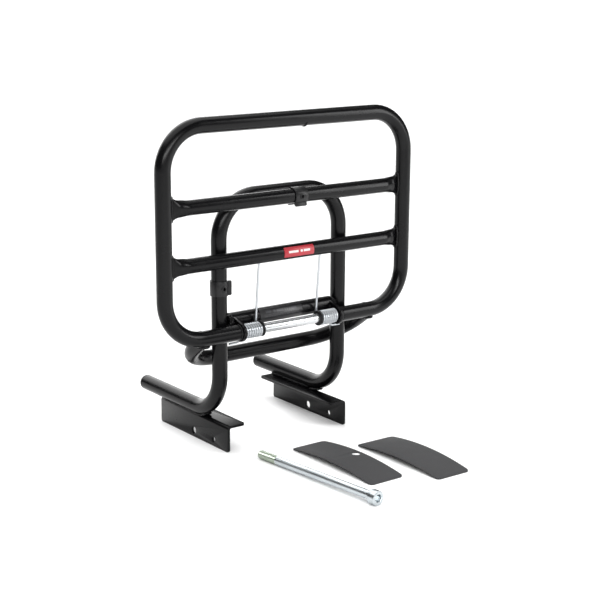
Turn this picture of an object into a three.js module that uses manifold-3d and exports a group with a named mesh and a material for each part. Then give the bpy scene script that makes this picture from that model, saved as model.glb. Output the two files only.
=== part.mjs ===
// Folding luggage rack of bent steel tube, standing on its foot brackets with the carrier folded up,
// and its loose fitting kit on the floor in front of it. Millimetres, +Z up.
// +X runs along the crossbars, -Y is the side that the carrier unfolds to, and z = 0 is the floor.
// Everything is laid out from the hinge axis at y = 0, and the whole is centred on the origin last.

import * as THREE from 'three';
import { mergeVertices } from 'three/addons/utils/BufferGeometryUtils.js';
import Module from 'manifold-3d';

const wasm = await Module();
wasm.setup();

// ---- driving dimensions -------------------------------------------------------------------------

const GAP = 0.3; // between two pieces that touch
const TUBE_R = 9; // 18 mm tube
const TUBE_WALL = 1.5;
const BEND_RADIUS = 48; // centre line of every bend, one die
const BEND_STEPS = 7;
const TUBE_SIDES = 16;

const MAST_WIDTH = 170; // between the centres of the uprights
const MAST_BAR_RISE = 3.5; // mast top bar above the upper crossbar that leans on it
const RAIL_REACH = 162; // from the mast's plane back to the ends of the foot rails

const HINGE_HEIGHT = 141;
const CARRIER_OVERHANG = 83; // from an upright's centre out to the carrier's side tube
const CARRIER_HEIGHT = 236; // hinge axis to the far bar's centre
const LOWER_CROSSBAR_UP = 84.5; // above the hinge axis
const UPPER_CROSSBAR_UP = 148.5;
const CROSSBAR_UNDERSIZE = 0.5; // a crossbar's radius under the tube's
const BLADE_HALF_HEIGHT = 13; // a crossbar's flattened end
const BLADE_HALF_THICKNESS = 1.8;
const BLADE_LENGTH = 6.5;
const BLADE_RAMP = 3.5; // from the squeezed tube out to the blade
const SQUEEZE_HALF_HEIGHT = 9.6; // the tube just before its blade
const SQUEEZE_HALF_THICKNESS = 6;
const SQUEEZE_LENGTH = 12;
const DRAIN_R = 2;

const HOOP_INSET = 50.5; // hoop leg in from the carrier's side tube
const HOOP_REACH = 69.5; // hinge axis to the hoop's bar
const HOOP_DROP = THREE.MathUtils.degToRad(36.5); // the hoop's plane below the horizontal

const CROSS_TUBE_RISE = 10; // cross tube above the hinge axis
const CROSS_TUBE_END_ROOM = 3.5; // between its square ends and the uprights, bridged by weld
const EAR_THICKNESS = 4;
const EAR_NOSE_RIM = 2; // ear outline outside the tube's radius
const EAR_TO_UPRIGHT = 5;
const ROD_R = 5.5;
const ROD_IN_TUBE = 24;
const BUSH_FLANGE = 1.5;
const COLLAR_R = 8.8;
const COLLAR_LENGTH = 2;

const WIRE_R = 1.4;
const COIL_CLEARANCE = 0.5; // coil round the rod
const COIL_PITCH = 3;
const ARM_TURNS = 3;
const TAIL_TURNS = 3;
const COIL_SPLIT = 1.2; // between the turns that follow the carrier and those that stay
const TAIL_DROP = 12;
const TAIL_OUT = 17;
const ARM_IN_CROSSBAR = 4;
const ARM_HOLE_R = 2.2;

const BRACKET_LENGTH = 145;
const BRACKET_HEIGHT = 31.7;
const BRACKET_FLANGE = 24;
const BRACKET_SHEET = 3;
const BRACKET_AHEAD = 17; // the bracket's front end ahead of the mast's plane
const BRACKET_CORNER = 3;
const LEG_OUTSIDE = 1; // leg's outer face outside the rail's centre line
const HOLE_HEIGHT = 8;
const SMALL_HOLE_R = 3.25;
const SMALL_HOLE_FROM_FRONT = 30;
const LARGE_HOLE_R = 4.5;
const LARGE_HOLE_FROM_FRONT = 72;

const PLUG_STEM = 12;
const PLUG_DOME = 4;

const CLIP_WALL = 1.2;
const CLIP_LENGTH = 17;
const CLIP_MOUTH = THREE.MathUtils.degToRad(76);
const CLIP_LIP = 4;
const CLIP_HOLE_R = 1.8;
const CROSSBAR_CLIP_X = 10;
const MAST_CLIP_UP = 50; // above the hinge axis, where the hoop meets the upright

const LABEL_SHEET = 0.4;
const LOAD_LABEL = { length: 42, x: 7, span: THREE.MathUtils.degToRad(80) };
const LABEL_LIFT = THREE.MathUtils.degToRad(10); // middle of both labels above the horizontal
const MAKER_LABEL = { length: 60, x: -4.5, span: THREE.MathUtils.degToRad(110) };

const BOLT_R = 5;
const BOLT_LENGTH = 180;
const BOLT_HEAD_R = 8;
const BOLT_HEAD_LENGTH = 10;
const BOLT_SOCKET_R = 4.6; // across the corners of the 8 mm hex, halved
const BOLT_SOCKET_DEPTH = 5;
const BOLT_TIP = { x: -66, y: -34 };
const BOLT_TURN = THREE.MathUtils.degToRad(4.6); // out of the -Y direction, towards +X

const PAD_SHEET = 1.6;
const PAD_CORNER = 5;
const PAD_RISE = 6; // crown of the pad above its short edges
const PAD_TURN = THREE.MathUtils.degToRad(-0.9);
const HOLED_PAD = { farWidth: 47, nearWidth: 47, length: 143, x: 2.7, y: -103.5, turn: 0 };
const PLAIN_PAD = { farWidth: 54, nearWidth: 47, length: 139, x: 73.5, y: -136, turn: PAD_TURN };
const PAD_HOLE = { r: 5, x: 15.5, y: 2 };

// ---- sizes that follow --------------------------------------------------------------------------

const BORE_R = TUBE_R - TUBE_WALL;
const CROSSBAR_R = TUBE_R - CROSSBAR_UNDERSIZE;
const UPRIGHT_X = MAST_WIDTH / 2;
const SIDE_X = UPRIGHT_X + CARRIER_OVERHANG;
const CARRIER_TOP = HINGE_HEIGHT + CARRIER_HEIGHT;
const UPPER_CROSSBAR_Z = HINGE_HEIGHT + UPPER_CROSSBAR_UP;
const LOWER_CROSSBAR_Z = HINGE_HEIGHT + LOWER_CROSSBAR_UP;
const MAST_BAR_Z = UPPER_CROSSBAR_Z + MAST_BAR_RISE;
// The folded carrier leans on the mast through the clip, which is gripped between the two bars.
const LEAN_DISTANCE = CROSSBAR_R + GAP + CLIP_WALL + GAP + TUBE_R;
const MAST_Y = Math.sqrt(LEAN_DISTANCE ** 2 - MAST_BAR_RISE ** 2);
const RAIL_Z = BRACKET_HEIGHT + GAP + TUBE_R;
const RAIL_END_Y = MAST_Y + RAIL_REACH;
const BRACKET_FRONT_Y = MAST_Y - BRACKET_AHEAD;
const CROSS_TUBE_Z = HINGE_HEIGHT + CROSS_TUBE_RISE;
const CROSS_TUBE_END = UPRIGHT_X - TUBE_R - CROSS_TUBE_END_ROOM;
const EAR_OUTER_X = UPRIGHT_X - TUBE_R - EAR_TO_UPRIGHT;
const EAR_INNER_X = EAR_OUTER_X - EAR_THICKNESS;
const BUSH_X = EAR_OUTER_X + GAP;
const STUB_END_X = BUSH_X + BUSH_FLANGE + GAP;
const HOOP_X = SIDE_X - HOOP_INSET;
const COIL_R = ROD_R + COIL_CLEARANCE + WIRE_R;
const COIL_OUTER_X = EAR_INNER_X - GAP - WIRE_R;
const TAIL_COIL_END_X = COIL_OUTER_X - TAIL_TURNS * COIL_PITCH;
const ARM_COIL_START_X = TAIL_COIL_END_X - 2 * WIRE_R - COIL_SPLIT;
const ARM_X = ARM_COIL_START_X - ARM_TURNS * COIL_PITCH;
const COLLAR_OUTER_X = ARM_X - WIRE_R - GAP;

// ---- finishes -----------------------------------------------------------------------------------

const finish = (color, roughness, metalness) => {
  return new THREE.MeshStandardMaterial({ color, roughness, metalness });
};
const blackPaint = () => finish(0x1b1b1d, 0.35, 0.3);
const blackPlastic = () => finish(0x141416, 0.55, 0);
const zinc = () => finish(0xd4dadd, 0.3, 0.9);
const chrome = () => finish(0xe6e8ea, 0.12, 1);
const rubber = () => finish(0x3e3e40, 0.8, 0);
const redLabel = () => finish(0xc8323c, 0.4, 0);
const greyLabel = () => finish(0x4a4850, 0.45, 0);

// ---- solids, cuts and paths ---------------------------------------------------------------------

function solid(geometry) {
  const bare = geometry.clone();
  bare.deleteAttribute('normal');
  bare.deleteAttribute('uv');
  const merged = mergeVertices(bare, 1e-4);
  const vertProperties = new Float32Array(merged.attributes.position.array);
  const triVerts = new Uint32Array(merged.index.array);
  return new wasm.Manifold(new wasm.Mesh({ numProp: 3, vertProperties, triVerts }));
}

function surface(body) {
  const mesh = body.getMesh();
  const geometry = new THREE.BufferGeometry();
  geometry.setAttribute('position', new THREE.BufferAttribute(mesh.vertProperties, 3));
  geometry.setIndex(new THREE.BufferAttribute(mesh.triVerts, 1));
  geometry.computeVertexNormals();
  return geometry;
}

function cut(geometry, ...tools) {
  return surface(tools.reduce((body, tool) => body.subtract(solid(tool)), solid(geometry)));
}

function join(...geometries) {
  return surface(geometries.map(solid).reduce((body, other) => body.add(other)));
}

function piece(name, geometry, material) {
  const mesh = new THREE.Mesh(geometry, material);
  mesh.name = name;
  return mesh;
}

function disc(radius, sides = TUBE_SIDES) {
  const points = [];
  for (let i = 0; i < sides; i += 1) {
    const angle = (2 * Math.PI * (i + 0.5)) / sides;
    points.push(new THREE.Vector2(radius * Math.cos(angle), radius * Math.sin(angle)));
  }
  return new THREE.Shape(points);
}

// A path of straight runs joined by arcs of one radius. Its stations stand only where the tube
// starts, bends and ends, and its frames are carried along without twist.
class BentPath extends THREE.Curve {
  constructor(corners, radius = BEND_RADIUS) {
    super();
    this.stations = [];
    const heading = (from, to) => to.clone().sub(from).normalize();
    corners.forEach((corner, i) => {
      if (i === 0 || i === corners.length - 1) {
        const tangent = i === 0 ? heading(corner, corners[1]) : heading(corners[i - 1], corner);
        this.stations.push({ point: corner, tangent });
        return;
      }
      const before = heading(corners[i - 1], corner);
      const after = heading(corner, corners[i + 1]);
      const turn = before.angleTo(after);
      const start = corner.clone().addScaledVector(before, -radius * Math.tan(turn / 2));
      const inward = after.clone().addScaledVector(before, -after.dot(before)).normalize();
      for (let step = 0; step <= BEND_STEPS; step += 1) {
        const angle = (turn * step) / BEND_STEPS;
        const point = start.clone().addScaledVector(before, radius * Math.sin(angle));
        point.addScaledVector(inward, radius * (1 - Math.cos(angle)));
        const tangent = before.clone().multiplyScalar(Math.cos(angle));
        tangent.addScaledVector(inward, Math.sin(angle));
        this.stations.push({ point, tangent });
      }
    });
  }

  getSpacedPoints() {
    return this.stations.map((station) => station.point);
  }

  computeFrenetFrames() {
    const tangents = this.stations.map((station) => station.tangent);
    const upright = Math.abs(tangents[0].z) > 0.9;
    const across = upright ? new THREE.Vector3(1, 0, 0) : new THREE.Vector3(0, 0, 1);
    let normal = across.addScaledVector(tangents[0], -across.dot(tangents[0])).normalize();
    const normals = tangents.map((tangent, i) => {
      const turn = new THREE.Quaternion().setFromUnitVectors(tangents[Math.max(i - 1, 0)], tangent);
      normal = normal.clone().applyQuaternion(turn);
      return normal;
    });
    const binormals = tangents.map((tangent, i) => tangent.clone().cross(normals[i]));
    return { tangents, normals, binormals };
  }
}

function bar(corners, radius, { sides = TUBE_SIDES, extra = 0, bend = BEND_RADIUS } = {}) {
  const ends = corners.map((corner) => corner.clone());
  const last = ends.length - 1;
  ends[0].addScaledVector(corners[0].clone().sub(corners[1]).normalize(), extra);
  ends[last].addScaledVector(corners[last].clone().sub(corners[last - 1]).normalize(), extra);
  const path = new BentPath(ends, bend);
  const steps = path.stations.length - 1;
  return new THREE.ExtrudeGeometry(disc(radius, sides), { steps, extrudePath: path });
}

const tube = (corners) => cut(bar(corners, TUBE_R), bar(corners, BORE_R, { extra: 2 }));

const at = (x, y, z) => new THREE.Vector3(x, y, z);

function barAlongX(x0, x1, radius, y, z, sides = TUBE_SIDES) {
  return bar([at(x0, y, z), at(x1, y, z)], radius, { sides });
}

function ringAlongX(x0, x1, innerR, outerR, y, z) {
  return cut(barAlongX(x0, x1, outerR, y, z, 20), barAlongX(x0 - 1, x1 + 1, innerR, y, z, 20));
}

function straightExtrusion(shape, depth, curveSegments) {
  return new THREE.ExtrudeGeometry(shape, { depth, bevelEnabled: false, curveSegments });
}

// A shape drawn in (y, z), with its thickness from x0 to x1.
function plateAcrossX(shape, x0, x1) {
  const geometry = straightExtrusion(shape, x1 - x0, 8);
  const turned = new THREE.Matrix4().makeBasis(at(0, 1, 0), at(0, 0, 1), at(1, 0, 0));
  return geometry.applyMatrix4(turned).translate(x0, 0, 0);
}

function roundedOutline(corners, radius) {
  const shape = new THREE.Shape();
  const count = corners.length;
  corners.forEach((corner, i) => {
    const before = corners[(i + count - 1) % count].clone().sub(corner).normalize();
    const after = corners[(i + 1) % count].clone().sub(corner).normalize();
    const enter = corner.clone().addScaledVector(before, radius);
    const leave = corner.clone().addScaledVector(after, radius);
    if (i === 0) shape.moveTo(enter.x, enter.y);
    else shape.lineTo(enter.x, enter.y);
    shape.quadraticCurveTo(corner.x, corner.y, leave.x, leave.y);
  });
  shape.closePath();
  return shape;
}

// A piece is drawn on the right; its left-hand twin is its mirror image.
const onSide = (side, geometry) => (side > 0 ? geometry : surface(solid(geometry).mirror([1, 0, 0])));

// ---- mast: one tube, forward along the floor, up, over, down and back ---------------------------

function mastTube() {
  const right = [
    at(UPRIGHT_X, MAST_Y, MAST_BAR_Z),
    at(UPRIGHT_X, MAST_Y, RAIL_Z),
    at(UPRIGHT_X, RAIL_END_Y, RAIL_Z),
  ];
  const left = right.map((corner) => at(-corner.x, corner.y, corner.z)).reverse();
  return tube([...left, ...right]);
}

function railPlug(side) {
  const stemR = BORE_R - GAP;
  const profile = [
    new THREE.Vector2(0, -PLUG_STEM),
    new THREE.Vector2(stemR, -PLUG_STEM),
    new THREE.Vector2(stemR, GAP),
    new THREE.Vector2(TUBE_R, GAP),
    new THREE.Vector2(TUBE_R * 0.85, GAP + PLUG_DOME * 0.6),
    new THREE.Vector2(TUBE_R * 0.5, GAP + PLUG_DOME * 0.93),
    new THREE.Vector2(0, GAP + PLUG_DOME),
  ];
  const geometry = new THREE.LatheGeometry(profile, TUBE_SIDES);
  return geometry.translate(side * UPRIGHT_X, RAIL_END_Y, RAIL_Z);
}

// ---- foot brackets: L-section sheet under the rails, two bolt holes in each leg -----------------

function footBracket() {
  const backY = BRACKET_FRONT_Y + BRACKET_LENGTH;
  const outerX = UPRIGHT_X + LEG_OUTSIDE;
  const legCorners = [
    new THREE.Vector2(BRACKET_FRONT_Y, 0),
    new THREE.Vector2(backY, 0),
    new THREE.Vector2(backY, BRACKET_HEIGHT),
    new THREE.Vector2(BRACKET_FRONT_Y, BRACKET_HEIGHT),
  ];
  const leg = roundedOutline(legCorners, BRACKET_CORNER);
  const holes = [[SMALL_HOLE_R, SMALL_HOLE_FROM_FRONT], [LARGE_HOLE_R, LARGE_HOLE_FROM_FRONT]];
  holes.forEach(([radius, fromFront]) => {
    const hole = new THREE.Path();
    hole.absarc(BRACKET_FRONT_Y + fromFront, HOLE_HEIGHT, radius, 0, 2 * Math.PI, true);
    leg.holes.push(hole);
  });
  const foldX = outerX - BRACKET_SHEET / 2;
  const innerX = outerX - BRACKET_FLANGE;
  const flangeCorners = [
    new THREE.Vector2(innerX, BRACKET_FRONT_Y + BRACKET_CORNER),
    new THREE.Vector2(foldX, BRACKET_FRONT_Y + BRACKET_CORNER),
    new THREE.Vector2(foldX, backY - BRACKET_CORNER),
    new THREE.Vector2(innerX, backY - BRACKET_CORNER),
  ];
  const flange = straightExtrusion(roundedOutline(flangeCorners, BRACKET_SHEET / 3), BRACKET_SHEET, 4);
  flange.translate(0, 0, BRACKET_HEIGHT - BRACKET_SHEET);
  return join(plateAcrossX(leg, outerX - BRACKET_SHEET, outerX), flange);
}

// ---- hinge: cross tube, two ears, rod, bushes and spring collars --------------------------------

function crossTube() {
  return ringAlongX(-CROSS_TUBE_END, CROSS_TUBE_END, BORE_R, TUBE_R, MAST_Y, CROSS_TUBE_Z);
}

// A drop-shaped ear: round about the rod, with straight flanks running back onto the cross tube.
function hingeEar() {
  const noseR = TUBE_R + EAR_NOSE_RIM;
  const rootR = TUBE_R - 1;
  const run = Math.hypot(MAST_Y, CROSS_TUBE_RISE);
  const slope = Math.atan2(CROSS_TUBE_RISE, MAST_Y);
  const flank = Math.acos((noseR - rootR) / run);
  const shape = new THREE.Shape();
  shape.absarc(0, HINGE_HEIGHT, noseR, slope + flank, slope - flank + 2 * Math.PI, false);
  [slope - flank, slope + flank].forEach((angle) => {
    shape.lineTo(MAST_Y + rootR * Math.cos(angle), CROSS_TUBE_Z + rootR * Math.sin(angle));
  });
  shape.closePath();
  return cut(
    plateAcrossX(shape, EAR_INNER_X, EAR_OUTER_X),
    barAlongX(EAR_INNER_X - 1, EAR_OUTER_X + 1, ROD_R + GAP, 0, HINGE_HEIGHT),
    barAlongX(EAR_INNER_X - 1, EAR_OUTER_X + 1, TUBE_R + GAP, MAST_Y, CROSS_TUBE_Z, 24),
  );
}

function hingeRod() {
  const end = STUB_END_X + ROD_IN_TUBE;
  return barAlongX(-end, end, ROD_R, 0, HINGE_HEIGHT);
}

// Flanged sleeve that seats in the carrier tube's open end and turns on the rod.
function stubBush() {
  const bore = ROD_R + GAP;
  const profile = [
    new THREE.Vector2(bore, 0),
    new THREE.Vector2(TUBE_R, 0),
    new THREE.Vector2(TUBE_R, BUSH_FLANGE),
    new THREE.Vector2(BORE_R - GAP, BUSH_FLANGE),
    new THREE.Vector2(BORE_R - GAP, ROD_IN_TUBE - 2),
    new THREE.Vector2(bore, ROD_IN_TUBE - 2),
    new THREE.Vector2(bore, 0),
  ];
  const geometry = new THREE.LatheGeometry(profile, TUBE_SIDES).rotateZ(-Math.PI / 2);
  return geometry.translate(BUSH_X, 0, HINGE_HEIGHT);
}

function springCollar() {
  const innerX = COLLAR_OUTER_X - COLLAR_LENGTH;
  return ringAlongX(innerX, COLLAR_OUTER_X, ROD_R + GAP, COLLAR_R, 0, HINGE_HEIGHT);
}

// ---- torsion springs: the turns that stay with the mast, and the turns that follow the carrier --

function wire(points) {
  const curve = new THREE.CatmullRomCurve3(points, false, 'centripetal');
  return new THREE.ExtrudeGeometry(disc(WIRE_R, 6), { steps: points.length - 1, extrudePath: curve });
}

// Turns about the hinge axis from x0 to x1, ending at the back of the rod. The wire leaves upward
// there if it turns forward about +X, and downward if it turns the other way.
function coil(x0, x1, turns, sense) {
  const steps = Math.round(turns * 12);
  const points = [];
  for (let i = 0; i <= steps; i += 1) {
    const angle = sense * 2 * Math.PI * turns * (i / steps - 1);
    const x = THREE.MathUtils.lerp(x0, x1, i / steps);
    points.push(at(x, COIL_R * Math.cos(angle), HINGE_HEIGHT + COIL_R * Math.sin(angle)));
  }
  return points;
}

function springArm() {
  const points = coil(ARM_COIL_START_X, ARM_X, ARM_TURNS, 1);
  const top = LOWER_CROSSBAR_Z - CROSSBAR_R + ARM_IN_CROSSBAR;
  for (let i = 1; i <= 6; i += 1) {
    points.push(at(ARM_X, COIL_R * (1 - i / 6), THREE.MathUtils.lerp(HINGE_HEIGHT, top, i / 6)));
  }
  return wire(points);
}

// The fixed end drops behind the rod and hooks outward, to bear on the front of the upright.
function springTail() {
  const points = coil(TAIL_COIL_END_X, COIL_OUTER_X, TAIL_TURNS, -1);
  const hookY = MAST_Y - TUBE_R - 2 * GAP - WIRE_R;
  const hookZ = HINGE_HEIGHT - TAIL_DROP - 2;
  points.push(
    at(COIL_OUTER_X, COIL_R, HINGE_HEIGHT - TAIL_DROP / 2),
    at(COIL_OUTER_X + 0.5, hookY, hookZ + 2),
    at(COIL_OUTER_X + 3, hookY, hookZ),
    at(COIL_OUTER_X + TAIL_OUT / 2, hookY, hookZ),
    at(COIL_OUTER_X + TAIL_OUT, hookY, hookZ),
  );
  return wire(points);
}

// ---- carrier: one bent tube with its ends at the hinge, two crossbars and the stop hoop ---------

function carrierLoop() {
  return tube([
    at(STUB_END_X, 0, HINGE_HEIGHT),
    at(SIDE_X, 0, HINGE_HEIGHT),
    at(SIDE_X, 0, CARRIER_TOP),
    at(-SIDE_X, 0, CARRIER_TOP),
    at(-SIDE_X, 0, HINGE_HEIGHT),
    at(-STUB_END_X, 0, HINGE_HEIGHT),
  ]);
}

// How far out the rim's inner face is at a height, whether on a side tube or in one of its bends.
function rimInnerX(z) {
  const intoBend = Math.max(0, z - (CARRIER_TOP - BEND_RADIUS), HINGE_HEIGHT + BEND_RADIUS - z);
  return SIDE_X - BEND_RADIUS + Math.sqrt((BEND_RADIUS - TUBE_R) ** 2 - intoBend ** 2);
}

// Round tube whose ends are pressed flat into upright blades where they meet the rim.
function crossbar(z, holes, holeR) {
  const end = Math.min(rimInnerX(z - BLADE_HALF_HEIGHT), rimInnerX(z + BLADE_HALF_HEIGHT)) - GAP;
  const blade = end - BLADE_LENGTH;
  const ramp = blade - BLADE_RAMP;
  const round = ramp - SQUEEZE_LENGTH;
  const middle = (from, to) => (from + to) / 2;
  const half = [round, middle(round, ramp), ramp, middle(ramp, blade), blade, end];
  const places = [...half.map((x) => -x), ...half].sort((a, b) => a - b);
  const runs = places.length - 1;
  const body = new THREE.CylinderGeometry(1, 1, runs, 20, runs).rotateZ(Math.PI / 2);
  const position = body.attributes.position;
  for (let i = 0; i < position.count; i += 1) {
    const x = places[Math.round(position.getX(i) + runs / 2)];
    const squeezed = THREE.MathUtils.smoothstep(Math.abs(x), round, ramp);
    const flat = THREE.MathUtils.smoothstep(Math.abs(x), ramp, blade);
    const fuller = (value) => Math.sign(value) * Math.abs(value) ** (1 - 0.5 * flat);
    const size = (whole, squeeze, pressed) => {
      return THREE.MathUtils.lerp(THREE.MathUtils.lerp(whole, squeeze, squeezed), pressed, flat);
    };
    const thickness = size(CROSSBAR_R, SQUEEZE_HALF_THICKNESS, BLADE_HALF_THICKNESS);
    const height = size(CROSSBAR_R, SQUEEZE_HALF_HEIGHT, BLADE_HALF_HEIGHT);
    position.setXYZ(i, x, thickness * fuller(position.getY(i)), height * fuller(position.getZ(i)));
  }
  const cavity = barAlongX(-round, round, CROSSBAR_R - TUBE_WALL, 0, 0);
  const drilled = holes.map((x) => {
    return bar([at(x, 0, -CROSSBAR_R - 2), at(x, 0, 0)], holeR, { sides: 10 });
  });
  return cut(body, cavity, ...drilled).translate(0, 0, z);
}

// A U of tube in a plane through the hinge axis. It swings up with the carrier and stops against
// the backs of the uprights when the carrier is level.
function stopHoop() {
  const reach = (distance, x) => {
    return at(x, distance * Math.cos(HOOP_DROP), HINGE_HEIGHT - distance * Math.sin(HOOP_DROP));
  };
  const corners = [
    reach(0, -HOOP_X),
    reach(HOOP_REACH, -HOOP_X),
    reach(HOOP_REACH, HOOP_X),
    reach(0, HOOP_X),
  ];
  const lowerBar = barAlongX(-SIDE_X, SIDE_X, TUBE_R + GAP, 0, HINGE_HEIGHT, 24);
  return cut(bar(corners, TUBE_R), lowerBar, bar(corners, BORE_R));
}

// ---- plastic clips that keep the bars from rattling ---------------------------------------------

// A C-shaped band about the origin, along Z, with its mouth and flared lips towards +X.
function clipBand(barR) {
  const innerR = barR + GAP;
  const outerR = innerR + CLIP_WALL;
  const half = CLIP_MOUTH / 2;
  const band = new THREE.Shape();
  band.absarc(0, 0, outerR, half, 2 * Math.PI - half, false);
  const lip = (angle, radius, out, sideways) => new THREE.Vector2(
    radius * Math.cos(angle) + out,
    radius * Math.sin(angle) + sideways,
  );
  const flare = CLIP_LIP * 0.45;
  const lowerTip = [lip(-half, outerR, CLIP_LIP, -flare), lip(-half, innerR, CLIP_LIP, -flare)];
  lowerTip.forEach((point) => band.lineTo(point.x, point.y));
  band.absarc(0, 0, innerR, 2 * Math.PI - half, half, true);
  const upperTip = [lip(half, innerR, CLIP_LIP, flare), lip(half, outerR, CLIP_LIP, flare)];
  upperTip.forEach((point) => band.lineTo(point.x, point.y));
  band.closePath();
  return straightExtrusion(band, CLIP_LENGTH, 20).translate(0, 0, -CLIP_LENGTH / 2);
}

const CLIP_REACH = 2 * TUBE_R;

function mastClip() {
  const hole = bar([at(0, 0, 0), at(0, -CLIP_REACH, 0)], CLIP_HOLE_R, { sides: 12 });
  return cut(clipBand(TUBE_R), hole).translate(-UPRIGHT_X, MAST_Y, HINGE_HEIGHT + MAST_CLIP_UP);
}

// Mouth down, and the hole towards the front.
function crossbarClip() {
  const hole = bar([at(0, 0, 0), at(0, -CLIP_REACH, 0)], CLIP_HOLE_R, { sides: 12 });
  const band = clipBand(CROSSBAR_R).rotateY(Math.PI / 2);
  return cut(band, hole).translate(CROSSBAR_CLIP_X, 0, UPPER_CROSSBAR_Z);
}

// ---- labels: thin curved sheets on the front of a bar -------------------------------------------

function label({ length, x, span }, barR, y, z) {
  const innerR = barR + GAP;
  const middle = Math.PI - LABEL_LIFT;
  const strip = new THREE.Shape();
  strip.absarc(y, z, innerR + LABEL_SHEET, middle - span / 2, middle + span / 2, false);
  strip.absarc(y, z, innerR, middle + span / 2, middle - span / 2, true);
  strip.closePath();
  return plateAcrossX(strip, x - length / 2, x + length / 2);
}

// ---- loose kit on the floor: one bolt and two curved pads ---------------------------------------

// Lies on its tip and on its head's rim, so its axis rises a little towards the head.
function mountingBolt() {
  const top = BOLT_LENGTH + BOLT_HEAD_LENGTH;
  const profile = [
    new THREE.Vector2(0, 0),
    new THREE.Vector2(BOLT_R - 1, 0),
    new THREE.Vector2(BOLT_R, 1),
    new THREE.Vector2(BOLT_R, BOLT_LENGTH),
    new THREE.Vector2(BOLT_HEAD_R, BOLT_LENGTH),
    new THREE.Vector2(BOLT_HEAD_R, top - 0.8),
    new THREE.Vector2(BOLT_HEAD_R - 0.8, top),
    new THREE.Vector2(0, top),
  ];
  const socket = new THREE.CylinderGeometry(BOLT_SOCKET_R, BOLT_SOCKET_R, 2 * BOLT_SOCKET_DEPTH, 6);
  const bolt = cut(new THREE.LatheGeometry(profile, 24), socket.translate(0, top, 0));
  const rise = Math.asin((BOLT_HEAD_R - BOLT_R) / (BOLT_LENGTH - 1));
  bolt.rotateZ(Math.PI).rotateX(-rise).rotateZ(BOLT_TURN);
  bolt.computeBoundingBox();
  return bolt.translate(BOLT_TIP.x, BOLT_TIP.y, -bolt.boundingBox.min.z);
}

// A sheet bowed along its length, standing on its two short edges.
function pad({ farWidth, nearWidth, length, x, y, turn }, hole) {
  const half = length / 2;
  const radius = (half ** 2 + PAD_RISE ** 2) / (2 * PAD_RISE);
  const centreZ = PAD_RISE - radius;
  const reach = Math.asin((half + PAD_SHEET) / radius);
  const strip = new THREE.Shape();
  strip.absarc(0, centreZ, radius + PAD_SHEET, Math.PI / 2 - reach, Math.PI / 2 + reach, false);
  strip.absarc(0, centreZ, radius, Math.PI / 2 + reach, Math.PI / 2 - reach, true);
  strip.closePath();
  const wide = Math.max(farWidth, nearWidth);
  const outline = roundedOutline([
    new THREE.Vector2(-nearWidth / 2, -half),
    new THREE.Vector2(nearWidth / 2, -half),
    new THREE.Vector2(farWidth / 2, half),
    new THREE.Vector2(-farWidth / 2, half),
  ], PAD_CORNER);
  if (hole) {
    const path = new THREE.Path();
    path.absarc(hole.x, hole.y, hole.r, 0, 2 * Math.PI, true);
    outline.holes.push(path);
  }
  const column = straightExtrusion(outline, 4 * PAD_RISE, 8).translate(0, 0, -2 * PAD_RISE);
  const sheet = surface(solid(plateAcrossX(strip, -wide, wide)).intersect(solid(column)));
  sheet.computeBoundingBox();
  sheet.translate(0, 0, -sheet.boundingBox.min.z).rotateZ(turn);
  return sheet.translate(x, y, 0);
}

// ---- the whole ----------------------------------------------------------------------------------

const rack = new THREE.Group();
rack.name = 'folding_luggage_rack';

rack.add(
  piece('mast_tube', mastTube(), blackPaint()),
  piece('mast_clip', mastClip(), blackPlastic()),
  piece('cross_tube', crossTube(), blackPaint()),
  piece('maker_label', label(MAKER_LABEL, TUBE_R, MAST_Y, CROSS_TUBE_Z), greyLabel()),
  piece('hinge_rod', hingeRod(), chrome()),
  piece('carrier_loop', carrierLoop(), blackPaint()),
  piece('upper_crossbar', crossbar(UPPER_CROSSBAR_Z, [-SIDE_X / 2, SIDE_X / 2], DRAIN_R), blackPaint()),
  piece('lower_crossbar', crossbar(LOWER_CROSSBAR_Z, [-ARM_X, ARM_X], ARM_HOLE_R), blackPaint()),
  piece('stop_hoop', stopHoop(), blackPaint()),
  piece('crossbar_clip', crossbarClip(), blackPlastic()),
  piece('load_label', label(LOAD_LABEL, CROSSBAR_R, 0, LOWER_CROSSBAR_Z), redLabel()),
);

[['left', -1], ['right', 1]].forEach(([name, side]) => {
  rack.add(
    piece(`foot_bracket_${name}`, onSide(side, footBracket()), blackPaint()),
    piece(`rail_plug_${name}`, railPlug(side), blackPlastic()),
    piece(`hinge_ear_${name}`, onSide(side, hingeEar()), blackPaint()),
    piece(`stub_bush_${name}`, onSide(side, stubBush()), blackPlastic()),
    piece(`spring_collar_${name}`, onSide(side, springCollar()), blackPlastic()),
    piece(`spring_tail_${name}`, onSide(side, springTail()), zinc()),
    piece(`spring_arm_${name}`, onSide(side, springArm()), zinc()),
  );
});

rack.add(
  piece('mounting_bolt', mountingBolt(), zinc()),
  piece('holed_pad', pad(HOLED_PAD, PAD_HOLE), rubber()),
  piece('plain_pad', pad(PLAIN_PAD), rubber()),
);

const middle = new THREE.Box3().setFromObject(rack).getCenter(new THREE.Vector3());
rack.children.forEach((mesh) => mesh.geometry.translate(0, -middle.y, 0));

export default rack;
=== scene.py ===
import math
from math import cos, pi, radians, sin

import bmesh
import bpy
import numpy as np
from mathutils import Matrix, Vector
from mathutils.geometry import delaunay_2d_cdt


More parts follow.
